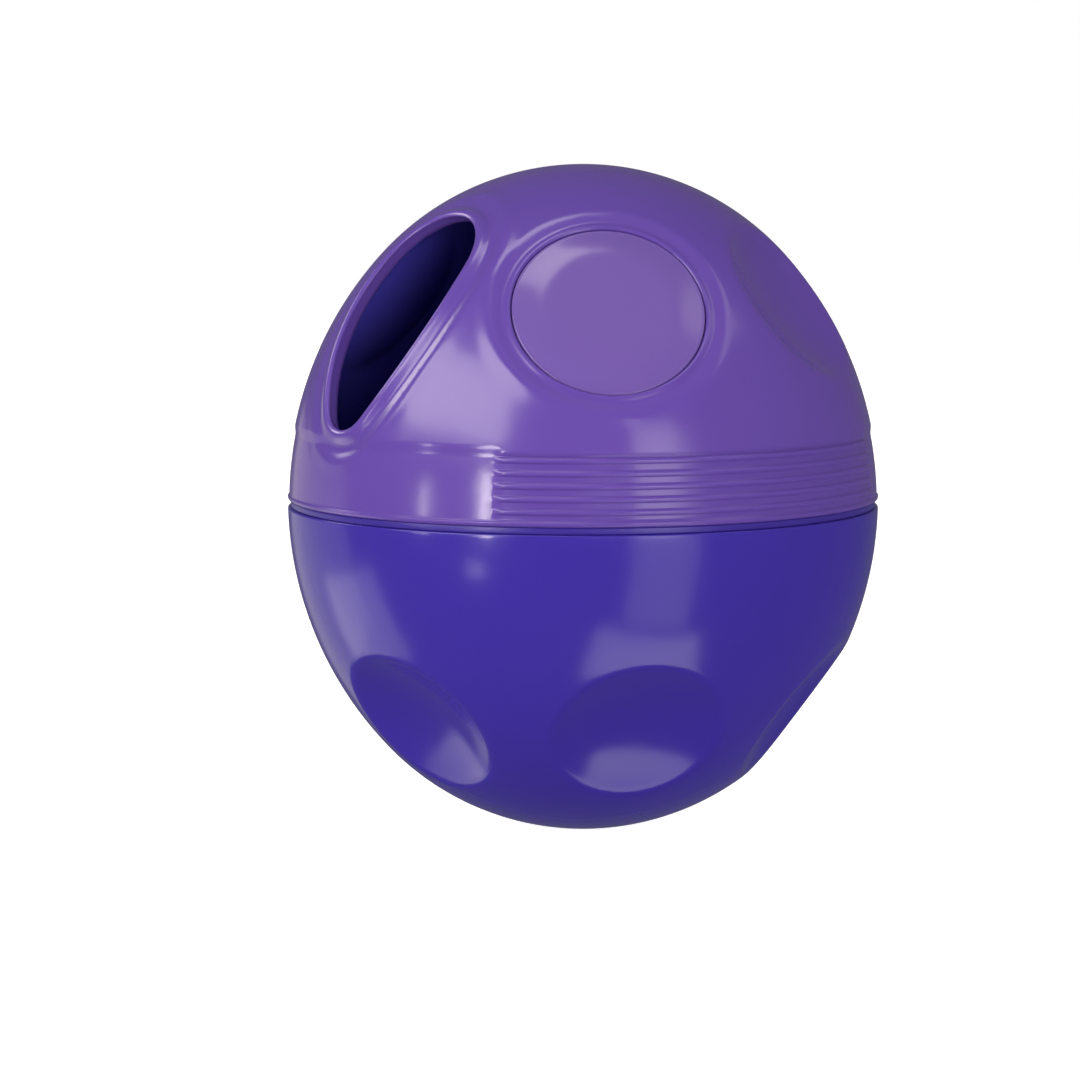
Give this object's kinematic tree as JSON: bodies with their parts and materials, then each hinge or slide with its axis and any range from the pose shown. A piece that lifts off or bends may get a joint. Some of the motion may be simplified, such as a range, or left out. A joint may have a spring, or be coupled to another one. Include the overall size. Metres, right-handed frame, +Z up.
{
  "type": "treat dispensing ball",
  "caption": "Egg-shaped treat dispensing ball for pets: two dimpled shells that turn and pull apart at a seam, a lipped oval treat opening, a round disc and a ribbed grip band.",
  "frame": {"origin": "centre of the closed ball, on its long axis, in the plane of the seam", "axes": "+Z up the ball's long axis, from the lower half to the upper half; -Y is the front, 6.5 degrees left of the round disc; +X is to the right of the front"},
  "size_m": [0.0676, 0.0676, 0.0762],
  "materials": {
    "lower_plastic": "satin moulded purple plastic, the deeper of the two tones",
    "ring_plastic": "satin dark purple plastic",
    "upper_plastic": "satin moulded purple plastic",
    "disc_plastic": "satin moulded purple plastic"
  },
  "bodies": {
    "lower_half": {"lower_shell": "lower_plastic"},
    "ring": {"seam_ring": "ring_plastic"},
    "upper_half": {"upper_shell": "upper_plastic", "front_disc": "disc_plastic"}
  },
  "joints": [
    {"name": "turn", "type": "hinge", "parent": "lower_half", "child": "ring", "pos_m": [0, 0, 0], "axis": [0, 0, 1], "continuous": true},
    {"name": "pull_off", "type": "slide", "parent": "ring", "child": "upper_half", "axis": [0, 0, 1], "range_m": [0, 0.06]}
  ]
}
